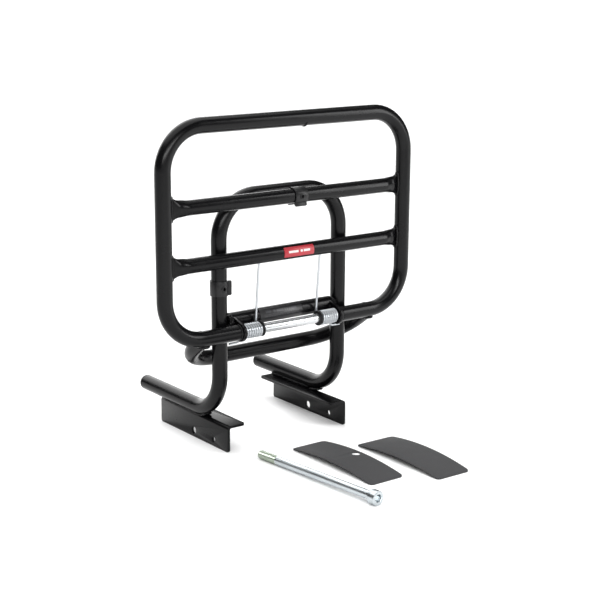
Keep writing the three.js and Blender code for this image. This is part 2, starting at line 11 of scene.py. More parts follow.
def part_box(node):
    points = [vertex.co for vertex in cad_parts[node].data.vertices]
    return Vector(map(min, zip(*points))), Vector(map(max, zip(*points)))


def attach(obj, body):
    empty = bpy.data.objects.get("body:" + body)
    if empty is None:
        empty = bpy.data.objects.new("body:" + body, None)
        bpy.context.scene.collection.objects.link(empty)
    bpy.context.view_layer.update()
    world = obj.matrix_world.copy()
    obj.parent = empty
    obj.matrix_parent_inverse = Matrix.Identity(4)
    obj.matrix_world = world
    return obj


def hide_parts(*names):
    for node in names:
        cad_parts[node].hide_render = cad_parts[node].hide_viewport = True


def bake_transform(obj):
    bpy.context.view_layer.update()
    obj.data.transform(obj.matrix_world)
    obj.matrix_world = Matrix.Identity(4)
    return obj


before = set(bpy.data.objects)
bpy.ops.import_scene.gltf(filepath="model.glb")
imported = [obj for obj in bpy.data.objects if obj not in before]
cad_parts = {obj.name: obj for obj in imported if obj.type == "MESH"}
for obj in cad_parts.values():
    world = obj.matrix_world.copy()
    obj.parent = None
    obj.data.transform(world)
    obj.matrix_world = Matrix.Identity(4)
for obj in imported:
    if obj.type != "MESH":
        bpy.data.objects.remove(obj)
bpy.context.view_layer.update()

# ---- the studio ------------------------------------------
# A white sweep of floor with no edge in sight, an even white sky, and large soft lights. Sizes in
# this file are in millimetres, as drawn from the hinge axis at y = 0, until a mesh is made.

MM = 0.001
rod_low, rod_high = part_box("hinge_rod")
HINGE_Y = (rod_low.y + rod_high.y) / 2
LEFT_AND_RIGHT = ((-1, "left"), (1, "right"))


def link(thing):
    bpy.context.scene.collection.objects.link(thing)
    return thing


def add(tree, kind, inputs=None, **settings):
    """A new node, with its settings, and each named input linked or set."""
    node = tree.nodes.new(kind)
    for name, value in settings.items():
        setattr(node, name, value)
    for socket, value in (inputs or {}).items():
        if isinstance(value, bpy.types.NodeSocket):
            tree.links.new(value, node.inputs[socket])
        else:
            node.inputs[socket].default_value = value
    return node


camera_data = bpy.data.cameras.new("camera")
camera_data.lens = 83.09
camera_data.sensor_width = 36
camera = link(bpy.data.objects.new("camera", camera_data))
CAMERA_AT = Vector((-0.9397, HINGE_Y - 1.2654, 0.5476))
turn, dip, roll = radians(-37.23), radians(13.72), radians(0.35)
ahead = Vector((-sin(turn) * cos(dip), cos(turn) * cos(dip), -sin(dip)))
level = Vector((cos(turn), sin(turn), 0))
above = level.cross(ahead)
across = level * cos(roll) + above * sin(roll)
upward = above * cos(roll) - level * sin(roll)
camera.matrix_world = Matrix.LocRotScale(
    CAMERA_AT, Matrix((across, upward, -ahead)).transposed().to_quaternion(), None
)
bpy.context.scene.camera = camera
bpy.context.scene.view_settings.view_transform = "Standard"

FLOOR_HALF = 40
floor_mesh = bpy.data.meshes.new("floor")
floor_mesh.from_pydata(
    [(x * FLOOR_HALF, y * FLOOR_HALF, 0) for x, y in ((-1, -1), (1, -1), (1, 1), (-1, 1))], [], [(0, 1, 2, 3)]
)
floor = link(bpy.data.objects.new("floor", floor_mesh))
floor_paint = bpy.data.materials.new("floor_paint")
floor_paint.use_nodes = True
floor_shader = floor_paint.node_tree.nodes["Principled BSDF"]
floor_shader.inputs["Base Color"].default_value = (0.93, 0.93, 0.93, 1)
floor_shader.inputs["Roughness"].default_value = 0.9
floor_shader.inputs["Specular IOR Level"].default_value = 0.1
floor_mesh.materials.append(floor_paint)

sky = bpy.data.worlds.new("sky")
sky.use_nodes = True
sky.node_tree.nodes["Background"].inputs["Color"].default_value = (1, 1, 1, 1)
sky.node_tree.nodes["Background"].inputs["Strength"].default_value = 0.10
bpy.context.scene.world = sky


def aimed(name, data, place, target=(0, 0, 0.2)):
    light = link(bpy.data.objects.new(name, data))
    light.location = place
    light.rotation_euler = (Vector(target) - Vector(place)).to_track_quat("-Z", "Y").to_euler()
    return light


def soft_sun(name, place, strength, spread):
    data = bpy.data.lights.new(name, "SUN")
    data.energy = strength
    data.angle = radians(spread)
    return aimed(name, data, place)


def soft_box(name, place, watts, width, height):
    data = bpy.data.lights.new(name, "AREA")
    data.shape = "RECTANGLE"
    data.size = width
    data.size_y = height
    data.energy = watts
    light = aimed(name, data, place)
    light.visible_camera = False
    return light


soft_sun("overhead", (-0.2, 0.5, 3.0), 3.1, 80)
soft_sun("from_behind", (0.4, 3.0, 1.5), 2.4, 60)
soft_box("right_box", (1.30, -1.15, 0.85), 17, 0.45, 1.3)
soft_box("high_box", (-0.75, -1.7, 0.95), 30, 1.9, 0.30)

# ---- mast: the bent tube ---------------------------------
# One length of 18 mm steel tube with a 1.5 mm wall, bent over one die into two foot rails, two
# uprights and a top bar, then welded up and powder coated satin black.

TUBE_R = 9.0
BORE_R = 7.5
BEND_R = 48.0
UPRIGHT_X = 85.0
MAST_BAR_Z = 293.0
RAIL_Z = 41.0
MAST_Y = 18.98
RAIL_END_Y = MAST_Y + 162
HINGE_Z = 141.0
SEAM_ANGLE = radians(32)


def shader_group(name, outputs, **inputs):
    tree = bpy.data.node_groups.new(name, "ShaderNodeTree")
    for title, value in inputs.items():
        socket = tree.interface.new_socket(title, in_out="INPUT", socket_type="NodeSocketFloat")
        socket.default_value = value
    for title in outputs:
        tree.interface.new_socket(title, in_out="OUTPUT", socket_type="NodeSocketFloat")
    return tree, tree.nodes.new("NodeGroupInput").outputs, tree.nodes.new("NodeGroupOutput")


def reckon(tree, operation, first, second=0.0):
    """One sum on numbers or sockets."""
    return add(tree, "ShaderNodeMath", {0: first, 1: second}, operation=operation).outputs[0]


def rescaled(tree, value, ends, results):
    """A value's place between two ends, as one between two results, and held there."""
    inputs = dict(enumerate((value, *ends, *results)))
    return add(tree, "ShaderNodeMapRange", inputs).outputs[0]


# Fine grain, slow clouding and rare specks of dust, each from 0 to 1, all over any finish.
DUST_SCALE, DUST_RARITY = 420.0, 0.93
break_up, given, result = shader_group(
    "break_up", ("Grain", "Cloud", "Speck"), grain_scale=900.0, cloud_scale=40.0,
)
place = add(break_up, "ShaderNodeTexCoord").outputs["Object"]
grain = add(break_up, "ShaderNodeTexNoise", {"Vector": place, "Scale": given["grain_scale"], "Detail": 3.0})
cloud = add(break_up, "ShaderNodeTexNoise", {"Vector": place, "Scale": given["cloud_scale"], "Detail": 4.0})
dust = add(break_up, "ShaderNodeTexVoronoi", {"Vector": place, "Scale": DUST_SCALE})
near_dust = rescaled(break_up, dust.outputs["Distance"], (0.10, 0.04), (0.0, 1.0))
rare = add(break_up, "ShaderNodeSeparateColor", {0: dust.outputs["Color"]})
few = reckon(break_up, "GREATER_THAN", rare.outputs[0], DUST_RARITY)
break_up.links.new(grain.outputs[0], result.inputs["Grain"])
break_up.links.new(cloud.outputs[0], result.inputs["Cloud"])
break_up.links.new(reckon(break_up, "MULTIPLY", near_dust, few), result.inputs["Speck"])


def blank_material(name):
    material = bpy.data.materials.new(name)
    material.use_nodes = True
    return material, material.node_tree, material.node_tree.nodes["Principled BSDF"]


def mixed(tree, amount, first, second):
    """A colour between two, each a colour or a socket."""
    node = tree.nodes.new("ShaderNodeMix")
    node.data_type = "RGBA"
    for socket, value in ((node.inputs[0], amount), (node.inputs[6], first), (node.inputs[7], second)):
        if isinstance(value, bpy.types.NodeSocket):
            tree.links.new(value, socket)
        else:
            socket.default_value = value if isinstance(value, float) else (*value, 1)
    return node.outputs[2]


def clouded(tree, base, low, high):
    """A value that drifts between low and high with the clouding."""
    return rescaled(tree, base.outputs["Cloud"], (0.25, 0.75), (low, high))


def roughened(tree, shader, height, depth_mm):
    """Bumps a shader's surface by a height from 0 to 1 that stands for depth_mm."""
    bump = add(tree, "ShaderNodeBump", {"Height": height, "Distance": depth_mm * MM, "Strength": 1.0})
    tree.links.new(bump.outputs[0], shader.inputs["Normal"])


def finish_material(name, dark, light, rough, bump_mm, grain_scale, cloud_scale, **sockets):
    """A finish whose colour and roughness drift, with a grain of bump_mm and a little dust."""
    material, tree, shader = blank_material(name)
    base = add(tree, "ShaderNodeGroup", node_tree=break_up)
    base.inputs["grain_scale"].default_value = grain_scale
    base.inputs["cloud_scale"].default_value = cloud_scale
    tone = mixed(tree, base.outputs["Cloud"], dark, light)
    dusty = tuple(min(1.0, c * 1.6 + 0.02) for c in light)
    tree.links.new(mixed(tree, base.outputs["Speck"], tone, dusty), shader.inputs["Base Color"])
    tree.links.new(clouded(tree, base, *rough), shader.inputs["Roughness"])
    roughened(tree, shader, base.outputs["Grain"], bump_mm)
    for title, value in sockets.items():
        shader.inputs[title.replace("_", " ")].default_value = value
    return material


powder_coat = finish_material(
    "powder_coat", (0.0014, 0.0014, 0.0017), (0.0024, 0.0024, 0.0028), rough=(0.21, 0.29),
    bump_mm=0.012, grain_scale=700.0, cloud_scale=30.0, Specular_IOR_Level=0.17,
)


def full_turn(sides):
    """The angles of the points round a closed ring."""
    return [2 * pi * k / sides for k in range(sides)]


def part_turn(first_deg, span_deg, count):
    """The angles of the points along an arc, with both its ends."""
    return [radians(first_deg + span_deg * k / (count - 1)) for k in range(count)]


def bent_path(corners, bend=BEND_R, steps=14):
    """Points and directions of straight runs joined by arcs, in stations only as fine as the bends."""
    corners = [Vector(c) for c in corners]
    stations = [(corners[0], (corners[1] - corners[0]).normalized())]
    for back, here, onward in zip(corners, corners[1:], corners[2:]):
        before, after = (here - back).normalized(), (onward - here).normalized()
        sweep = before.angle(after)
        start = here - before * bend * math.tan(sweep / 2)
        inward = (after - before * after.dot(before)).normalized()
        for i in range(steps + 1):
            a = sweep * i / steps
            point = start + before * bend * sin(a) + inward * bend * (1 - cos(a))
            stations.append((point, before * cos(a) + inward * sin(a)))
    stations.append((corners[-1], (corners[-1] - corners[-2]).normalized()))
    return stations


def frames_along(stations):
    """Each station's point with two axes across it, carried along without twist."""
    first = stations[0][1]
    side = Vector((0, 0, 1)) if abs(first.z) < 0.9 else Vector((1, 0, 0))
    side = (side - first * side.dot(first)).normalized()
    frames, previous = [], first
    for point, direction in stations:
        side = previous.rotation_difference(direction) @ side
        side = (side - direction * side.dot(direction)).normalized()
        frames.append((point, side, direction.cross(side), direction))
        previous = direction
    return frames


def ring(frame_at, radius, sides, shift=0.0, squash=(1.0, 1.0)):
    """One ring of points round a station, moved along it by shift."""
    point, u, v, direction = frame_at
    centre = point + direction * shift
    return [
        tuple(centre + u * radius * squash[0] * cos(a) + v * radius * squash[1] * sin(a))
        for a in full_turn(sides)
    ]


def skin(rings, looped):
    """Points and faces over a row of rings. A looped row meets itself; an open one gets capped ends."""
    sides = len(rings[0])
    points = [p for r in rings for p in r]
    faces = []
    count = len(rings)
    for i in range(count if looped else count - 1):
        a, b = i * sides, ((i + 1) % count) * sides
        faces += [(a + k, a + (k + 1) % sides, b + (k + 1) % sides, b + k) for k in range(sides)]
    if not looped:
        for start, flip in ((0, True), ((count - 1) * sides, False)):
            hub = len(points)
            points.append(tuple(np.mean(points[start:start + sides], axis=0)))
            for k in range(sides):
                face = (start + k, start + (k + 1) % sides, hub)
                faces.append(face[::-1] if flip else face)
    return points, faces


def hollow(stations, outer=TUBE_R, bore=BORE_R, sides=48, lip=0.4):
    """A tube along a path, open at both ends, with its cut edges eased by lip."""
    frames = frames_along(stations)
    first, last = frames[0], frames[-1]
    rings = [ring(first, outer - lip, sides), ring(first, outer, sides, lip)]
    rings += [ring(f, outer, sides) for f in frames[1:-1]]
    rings += [ring(last, outer, sides, -lip), ring(last, outer - lip, sides)]
    rings += [ring(f, bore, sides) for f in reversed(frames)]
    return skin(rings, True)


def softened(mesh, angle=SEAM_ANGLE):
    """Merges doubles, turns every face outward, and shades smooth between the real edges."""
    shape = bmesh.new()
    shape.from_mesh(mesh)
    bmesh.ops.remove_doubles(shape, verts=shape.verts, dist=1e-6)
    bmesh.ops.recalc_face_normals(shape, faces=shape.faces)
    for face in shape.faces:
        face.smooth = True
    for edge in shape.edges:
        edge.smooth = edge.calc_face_angle(0) < angle
    shape.to_mesh(mesh)
    shape.free()


def make(name, shape, material, body=None, replaces=()):
    """An object from points in millimetres and faces, riding on a body in place of CAD nodes."""
    points, faces = shape
    mesh = bpy.data.meshes.new(name)
    mesh.from_pydata([(x * MM, y * MM + HINGE_Y, z * MM) for x, y, z in points], [], faces)
    softened(mesh)
    mesh.materials.append(material)
    piece = link(bpy.data.objects.new(name, mesh))
    return settle(piece, body, replaces) if body else piece


def settle(piece, body, replaces=()):
    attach(piece, body)
    if replaces:
        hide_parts(*replaces)
    return piece


mast_path = bent_path([
    (-UPRIGHT_X, RAIL_END_Y, RAIL_Z),
    (-UPRIGHT_X, MAST_Y, RAIL_Z),
    (-UPRIGHT_X, MAST_Y, MAST_BAR_Z),
    (UPRIGHT_X, MAST_Y, MAST_BAR_Z),
    (UPRIGHT_X, MAST_Y, RAIL_Z),
    (UPRIGHT_X, RAIL_END_Y, RAIL_Z),
])
make("mast", hollow(mast_path), powder_coat, "mast", ["mast_tube"])

# ---- rail plugs ------------------------------------------
# Moulded black plastic plugs with a rounded face, pushed into the open ends of the foot rails. The
# stem is ribbed so that it grips the bore.

black_plastic = finish_material(
    "black_plastic", (0.004, 0.004, 0.0045), (0.007, 0.007, 0.0075), rough=(0.30, 0.42),
    bump_mm=0.02, grain_scale=1500.0, cloud_scale=60.0, Specular_IOR_Level=0.3,
)


def turned(profile, sides=40, looped=False):
    """A lathed shape about +Y from (along, radius) pairs, as a row of rings."""
    rings = []
    for along, radius in profile:
        rings.append([(radius * cos(a), along, radius * sin(a)) for a in full_turn(sides)])
    return skin(rings, looped)


def placed(shape, matrix):
    points, faces = shape
    return [tuple(matrix @ Vector(p)) for p in points], faces


STEM_R = BORE_R - 0.3
GROOVES, GROOVE_PITCH, GROOVE_DEPTH = 3, 3, 0.7  # between the stem's ribs
plug_groove = ((-9, 0), (-8.6, GROOVE_DEPTH), (-7.2, GROOVE_DEPTH), (-6.8, 0))
plug_profile = [(-12, STEM_R - 1.0), (-11, STEM_R)]
for groove in range(GROOVES):
    plug_profile += [(along + GROOVE_PITCH * groove, STEM_R - depth) for along, depth in plug_groove]
plug_profile += [(0.3, STEM_R), (0.3, TUBE_R - 0.2), (0.6, TUBE_R)]
for i in range(1, 8):
    a = radians(90 * i / 8)
    plug_profile.append((0.8 + 3.5 * sin(a), TUBE_R * cos(a) ** 0.6))
plug_profile.append((4.3, 0.4))
for side, name in LEFT_AND_RIGHT:
    seat = Matrix.Translation((side * UPRIGHT_X, RAIL_END_Y, RAIL_Z))
    make(f"plug_{name}", placed(turned(plug_profile), seat), black_plastic, "mast",
         [f"rail_plug_{name}"])

# ---- foot brackets ---------------------------------------
# 3 mm sheet, cut as a flat blank with two bolt holes and rounded corners, folded once into an angle
# and welded under the rail. Each leg stands on its lower edge.

SHEET = 3.0
BRACKET_FRONT = MAST_Y - 17
BRACKET_LENGTH = 145.0
BRACKET_HEIGHT = 31.7
FLANGE_WIDTH = 24.0
FOLD_R = 3.2  # middle of the sheet
LEG_X = UPRIGHT_X + 1 - SHEET / 2
HOLE_UP = 8.0
LEG_HOLES = ((30.0, 3.25), (72.0, 4.5))  # each one's distance from the front, and its radius


def rounded(corners, radius, steps=6):
    """A closed outline with its corners rounded."""
    outline = []
    count = len(corners)
    for i, corner in enumerate(corners):
        here = Vector(corner)
        before = (Vector(corners[i - 1]) - here).normalized()
        after = (Vector(corners[(i + 1) % count]) - here).normalized()
        half = before.angle(after) / 2
        reach = radius / math.tan(half)
        centre = here + (before + after).normalized() * radius / sin(half)
        start, end = here + before * reach - centre, here + after * reach - centre
        swing = start.angle_signed(end)
        for k in range(steps + 1):
            a = -swing * k / steps
            turned_by = Vector((
                start.x * cos(a) - start.y * sin(a),
                start.x * sin(a) + start.y * cos(a),
            ))
            outline.append(tuple(centre + turned_by))
    return outline


def circle(u, v, radius, sides=28):
    return [(u + radius * cos(a), v + radius * sin(a)) for a in full_turn(sides)]


def sheet_piece(name, outline, holes, creases, lay, thickness, material, edge=0.25):
    """A flat blank with holes, creased across u at the given places, laid on its middle surface by
    lay(u, v), then given its thickness and eased edges."""
    points, edges = [], []
    for loop in (outline, *holes):
        base = len(points)
        points += [Vector(p) for p in loop]
        edges += [(base + k, base + (k + 1) % len(loop)) for k in range(len(loop))]
    vs = [p[1] for p in outline]
    for u in creases:
        base = len(points)
        points += [Vector((u, min(vs) - 5)), Vector((u, max(vs) + 5))]
        edges.append((base, base + 1))
    made, _, cells, _, _, _ = delaunay_2d_cdt(points, edges, [], 0, 1e-5)
    loops = [np.array(loop) for loop in (outline, *holes)]

    def inside(loop, x, y):
        u, v = loop[:, 0], loop[:, 1]
        u2, v2 = np.roll(u, -1), np.roll(v, -1)
        crossing = (v > y) != (v2 > y)
        at_u = (u2 - u) * (y - v) / np.where(v2 == v, 1, v2 - v) + u
        return np.count_nonzero(crossing & (x < at_u)) % 2 == 1

    kept = []
    for cell in cells:
        mid = sum((made[i] for i in cell), Vector((0, 0))) / len(cell)
        if inside(loops[0], *mid) and not any(inside(hole, *mid) for hole in loops[1:]):
            kept.append(cell)
    used = sorted({i for cell in kept for i in cell})
    number = {i: k for k, i in enumerate(used)}
    spots = [lay(*made[i]) for i in used]
    mesh = bpy.data.meshes.new(name)
    mesh.from_pydata(
        [(x * MM, y * MM + HINGE_Y, z * MM) for x, y, z in spots], [],
        [tuple(number[i] for i in cell) for cell in kept],
    )
    flat = mesh.attributes.new("blank", "FLOAT_VECTOR", "POINT")
    flat.data.foreach_set("vector", [c for i in used for c in (*made[i], 0.0)])
    shape = bmesh.new()
    shape.from_mesh(mesh)
    bmesh.ops.recalc_face_normals(shape, faces=shape.faces)
    bmesh.ops.dissolve_limit(shape, angle_limit=radians(0.5), verts=shape.verts, edges=shape.edges)
    shape.to_mesh(mesh)
    shape.free()
    raw = link(bpy.data.objects.new(name + "_raw", mesh))
    solid = raw.modifiers.new("thickness", "SOLIDIFY")
    solid.thickness, solid.offset, solid.use_even_offset = thickness * MM, 0, True
    ease = raw.modifiers.new("edges", "BEVEL")
    ease.width, ease.segments, ease.limit_method = edge * MM, 2, "ANGLE"
    ease.angle_limit, ease.harden_normals = radians(50), False
    return baked(raw, name, material)


def baked(raw, name, material):
    """The plain mesh that an object's modifiers give, in an object of its own."""
    bpy.context.view_layer.update()
    graph = bpy.context.evaluated_depsgraph_get()
    mesh = bpy.data.meshes.new_from_object(raw.evaluated_get(graph))
    bpy.data.objects.remove(raw)
    mesh.name = name
    softened(mesh)
    mesh.materials.clear()
    mesh.materials.append(material)
    return link(bpy.data.objects.new(name, mesh))


fold_start = BRACKET_HEIGHT - SHEET / 2 - FOLD_R
fold_length = FOLD_R * pi / 2
flat_flange = FLANGE_WIDTH - SHEET / 2 - FOLD_R
blank_width = fold_start + fold_length + flat_flange
creases = [fold_start + fold_length * k / 6 for k in range(7)]


def folded(side):
    """The blank's u runs up the leg and in along the flange; its v runs back along the rail."""
    def lay(u, v):
        y = BRACKET_FRONT + v
        if u <= fold_start:
            return side * LEG_X, y, u
        a = min((u - fold_start) / FOLD_R, pi / 2)
        inward, rise = FOLD_R * (1 - cos(a)), fold_start + FOLD_R * sin(a)
        return side * (LEG_X - inward - max(0, u - fold_start - fold_length)), y, rise
    return lay


for side, name in LEFT_AND_RIGHT:
    outline = rounded([(0, 0), (blank_width, 0), (blank_width, BRACKET_LENGTH), (0, BRACKET_LENGTH)], 3.0)
    holes = [circle(HOLE_UP, ahead_of, r) for ahead_of, r in LEG_HOLES]
    bracket = sheet_piece(f"bracket_{name}", outline, holes, creases, folded(side), SHEET, powder_coat, 0.35)
    settle(bracket, "mast", [f"foot_bracket_{name}"])

# ---- cross tube and hinge ears ---------------------------
# A short square-cut tube welded between the uprights, and two drop-shaped plates of 4 mm steel
# welded to its front, drilled for the hinge rod.

CROSS_Z = HINGE_Z + 10
CROSS_END = 72.5
EAR_OUTER, EAR_SHEET = 71.0, 4.0
ROD_R = 5.5
cross_path = [(Vector((x, MAST_Y, CROSS_Z)), Vector((1, 0, 0))) for x in (-CROSS_END, CROSS_END)]
make("hinge_cross_tube", hollow(cross_path), powder_coat, "mast", ["cross_tube"])

run = math.hypot(MAST_Y, CROSS_Z - HINGE_Z)
slope = math.atan2(CROSS_Z - HINGE_Z, MAST_Y)
NOSE_R, ROOT_R, COPE_R = 11.0, 8.0, TUBE_R + 0.1
flank = math.acos((NOSE_R - ROOT_R) / run)
nose = [slope + flank + (2 * pi - 2 * flank) * k / 30 for k in range(31)]
ear_outline = [(NOSE_R * cos(a), NOSE_R * sin(a)) for a in nose]
# The root is coped to the cross tube: an arc of the tube's own outline, seen from the hinge side.
root = (run * cos(slope), run * sin(slope))
COPE_HALF_SPAN = pi / 2 - radians(24)
low_touch = pi + slope - COPE_HALF_SPAN
high_touch = pi + slope + COPE_HALF_SPAN
ear_outline += [
    (root[0] + COPE_R * cos(a), root[1] + COPE_R * sin(a))
    for a in np.linspace(high_touch, low_touch, 15)
]
for side, name in LEFT_AND_RIGHT:
    middle_x = side * (EAR_OUTER - EAR_SHEET / 2)
    ear = sheet_piece(
        f"ear_{name}", ear_outline, [circle(0, 0, ROD_R + 0.15, 32)], [],
        lambda u, v, x=middle_x: (x, u, HINGE_Z + v), EAR_SHEET, powder_coat, 0.5,
    )
    settle(ear, "mast", [f"hinge_ear_{name}"])

# ---- hinge rod, collars and bushes -----------------------
# A bright plated steel rod, turned and polished, through both ears and into the carrier tube's
# ends. Flanged nylon sleeves run on it in the tube ends, and thin collars keep the springs apart.

STUB_END = 73.1
BUSH_X = 71.3
rod_chrome, tree, shader = blank_material("rod_chrome")
marks = add(tree, "ShaderNodeGroup", node_tree=break_up)
marks.inputs["grain_scale"].default_value = 2500.0
marks.inputs["cloud_scale"].default_value = 55.0
where = add(tree, "ShaderNodeTexCoord").outputs["Object"]
turning = add(
    tree, "ShaderNodeTexWave", {"Vector": where, "Scale": 900.0, "Distortion": 1.5}, bands_direction="X",
)
tree.links.new(
    mixed(tree, marks.outputs["Cloud"], (0.50, 0.51, 0.52), (0.60, 0.61, 0.62)), shader.inputs["Base Color"]
)
tree.links.new(clouded(tree, marks, 0.22, 0.30), shader.inputs["Roughness"])
roughened(tree, shader, turning.outputs["Fac"], 0.003)
shader.inputs["Metallic"].default_value = 1.0

TO_X = Matrix.Rotation(-pi / 2, 4, "Z")  # a lathe's +Y turned onto +X
hinge_centre = Matrix.Translation((0, 0, HINGE_Z)) @ TO_X
rod_end = STUB_END + 24
rod_profile = [
    (-rod_end, ROD_R - 0.7), (-rod_end + 0.7, ROD_R), (rod_end - 0.7, ROD_R), (rod_end, ROD_R - 0.7),
]
make("pivot_rod", placed(turned(rod_profile, 48), hinge_centre), rod_chrome, "mast",
     ["hinge_rod"])

COLLAR_X = 41.6
bore = ROD_R + 0.15
for side, name in LEFT_AND_RIGHT:
    facing = Matrix.Translation((0, 0, HINGE_Z)) @ Matrix.Rotation(-side * pi / 2, 4, "Z")
    sleeve = [
        (BUSH_X, bore), (BUSH_X, 9.0), (BUSH_X + 0.4, 9.4), (BUSH_X + 1.2, 9.4), (BUSH_X + 1.5, 9.1),
        (BUSH_X + 1.5, STEM_R), (BUSH_X + 22, STEM_R), (BUSH_X + 22, bore),
    ]
    make(f"bush_{name}", placed(turned(sleeve, 48, True), facing), black_plastic, "carrier",
         [f"stub_bush_{name}"])
    collar = [
        (COLLAR_X - 2.0, bore), (COLLAR_X - 2.0, 7.6), (COLLAR_X - 1.5, 8.8), (COLLAR_X - 0.4, 9.0),
        (COLLAR_X, 8.7), (COLLAR_X, bore),
    ]
    make(f"collar_{name}", placed(turned(collar, 48, True), facing), black_plastic, "mast",
         [f"spring_collar_{name}"])

# ---- carrier: the bent tube ------------------------------
# The platform's rim, one 18 mm tube bent four ways, whose two cut ends face each other at the hinge.

SIDE_X = 168.0
CARRIER_TOP = 377.0
rim_path = bent_path([
    (STUB_END, 0, HINGE_Z),
    (SIDE_X, 0, HINGE_Z),
    (SIDE_X, 0, CARRIER_TOP),
    (-SIDE_X, 0, CARRIER_TOP),
    (-SIDE_X, 0, HINGE_Z),
    (-STUB_END, 0, HINGE_Z),
])
make("carrier_rim", hollow(rim_path, lip=0.6), powder_coat, "carrier", ["carrier_loop"])

# ---- crossbars -------------------------------------------
# 17 mm tubes whose ends are pressed into upright blades, butted against the rim and welded round.
# The lower one is drilled underneath for the springs' arms.

BAR_R = 8.5
BLADE_HALF_UP, BLADE_HALF_THICK = 13.0, 1.8
BLADE_FLAT, BLADE_RUN = 1.5, 8.5
SQUEEZE_HALF_UP, SQUEEZE_HALF_THICK, SQUEEZE_RUN = 9.6, 6.0, 12.0  # the tube just before its blade
LOWER_Z, UPPER_Z = 225.5, 289.5
UPPER_HOLE_X, ARM_X = 84, 43.3
bar_end = SIDE_X - TUBE_R - 0.1
blade_ramp = bar_end - BLADE_FLAT - BLADE_RUN


def eased(value, low, high):
    share = min(1.0, max(0.0, (value - low) / (high - low)))
    return share * share * (3 - 2 * share)


def pressed_ring(x, z, radius, sides=56):
    """A section of the bar: round, then squeezed, then a tall thin blade at x's limits."""
    squeezed = eased(abs(x), blade_ramp - SQUEEZE_RUN, blade_ramp)
    flat = eased(abs(x), blade_ramp, blade_ramp + BLADE_RUN)
    flare = min(1.0, max(0.0, (abs(x) - blade_ramp) / BLADE_RUN)) ** 2
    inset = BAR_R - radius
    half_y = BAR_R + (SQUEEZE_HALF_THICK - BAR_R) * squeezed
    half_z = BAR_R + (SQUEEZE_HALF_UP - BAR_R) * squeezed
    half_y += (BLADE_HALF_THICK - half_y) * flat - inset * (1 - 0.75 * flat)
    half_z += (BLADE_HALF_UP - half_z) * flare - inset
    points = []
    for a in full_turn(sides):
        c, s = cos(a), sin(a)
        y = half_y * math.copysign(abs(c) ** (1 - 0.55 * flat), c)
        points.append((x, y, z + half_z * math.copysign(abs(s) ** (1 - 0.15 * flat), s)))
    return points


def crossbar(z):
    half = [blade_ramp - SQUEEZE_RUN * (1 - k / 8) for k in range(8)]
    half += [blade_ramp + BLADE_RUN * k / 8 for k in range(9)] + [bar_end - 0.4, bar_end]
    xs = [-x for x in reversed(half)] + half
    outer = [pressed_ring(x, z, BAR_R - (0.3 if abs(x) == bar_end else 0)) for x in xs]
    inner = [pressed_ring(x, z, BAR_R - 1.5) for x in reversed(xs)]
    return skin(outer + inner, True)


def drilled(piece, holes, material):
    """The piece with round holes bored in its wall, each a start, an end and a radius in mm."""
    cutter = bmesh.new()
    for start, end, radius in holes:
        start, end = Vector(start), Vector(end)
        across_hole = (end - start).to_track_quat("Z", "Y").to_matrix().to_4x4()
        seat = Matrix.Translation((start + end) / 2) @ across_hole
        bmesh.ops.create_cone(
            cutter, cap_ends=True, segments=28, radius1=radius, radius2=radius,
            depth=(end - start).length, matrix=seat,
        )
    mesh = bpy.data.meshes.new("drill")
    cutter.to_mesh(mesh)
    cutter.free()
    mesh.transform(Matrix.Translation((0, HINGE_Y, 0)) @ Matrix.Scale(MM, 4))
    drill = link(bpy.data.objects.new("drill", mesh))
    bore = piece.modifiers.new("holes", "BOOLEAN")
    bore.object, bore.operation, bore.solver = drill, "DIFFERENCE", "EXACT"
    name = piece.name
    piece.name = name + "_undrilled"
    done = baked(piece, name, material)
    bpy.data.objects.remove(drill)
    return done


for z, name, hole_x, hole_r in ((UPPER_Z, "upper", UPPER_HOLE_X, 2.0), (LOWER_Z, "lower", ARM_X, 2.2)):
    bar = make(f"{name}_bar", crossbar(z), powder_coat)
    bar = drilled(bar, [((x, 0, z - 12), (x, 0, z - 3), hole_r) for x in (-hole_x, hole_x)], powder_coat)
    settle(bar, "carrier", [f"{name}_crossbar"])

# ---- stop hoop -------------------------------------------
# A U of the same tube behind the uprights, its legs coped and welded to the rim's lower bar. It was
# pressed a little flat in its bends. It swings up with the carrier and stops on the uprights.

HOOP_X = 117.5
HOOP_REACH = 69.5
HOOP_DROP = radians(36.5)


def hoop_point(reach, x):
    return x, reach * cos(HOOP_DROP), HINGE_Z - reach * sin(HOOP_DROP)


hoop_path = bent_path([
    hoop_point(reach, x)
    for reach, x in ((0, -HOOP_X), (HOOP_REACH, -HOOP_X), (HOOP_REACH, HOOP_X), (0, HOOP_X))
])


def coped_ring(frame_at, radius, sides):
    """A leg's end ring, each point slid along the leg until it meets the rim's lower bar."""
    point, u, v, direction = frame_at
    away = Vector((0, cos(HOOP_DROP), -sin(HOOP_DROP)))
    over = Vector((0, sin(HOOP_DROP), cos(HOOP_DROP)))
    points = []
    for a in full_turn(sides):
        offset = u * radius * cos(a) + v * radius * sin(a)
        reach = math.sqrt((TUBE_R + 0.15) ** 2 - min(radius, abs(offset.dot(over))) ** 2)
        points.append(tuple(point + offset + away * reach))
    return points


def hoop_tube(sides=48, flattening=0.07):
    frames = frames_along(hoop_path)
    last = len(frames) - 1
    # Each bend has 15 stations, the first after the path's own; its middle one is the flattest.
    bends = [1.0 - flattening * sin(pi * ((i - 1) % 15) / 14) for i in range(last + 1)]

    def wall(radius):
        middle = [ring(frames[i], radius, sides, 0, (1.0, bends[i])) for i in range(1, last)]
        return [coped_ring(frames[0], radius, sides), *middle, coped_ring(frames[last], radius, sides)]

    return skin(wall(TUBE_R) + wall(BORE_R)[::-1], True)


make("hoop", hoop_tube(), powder_coat, "carrier", ["stop_hoop"])

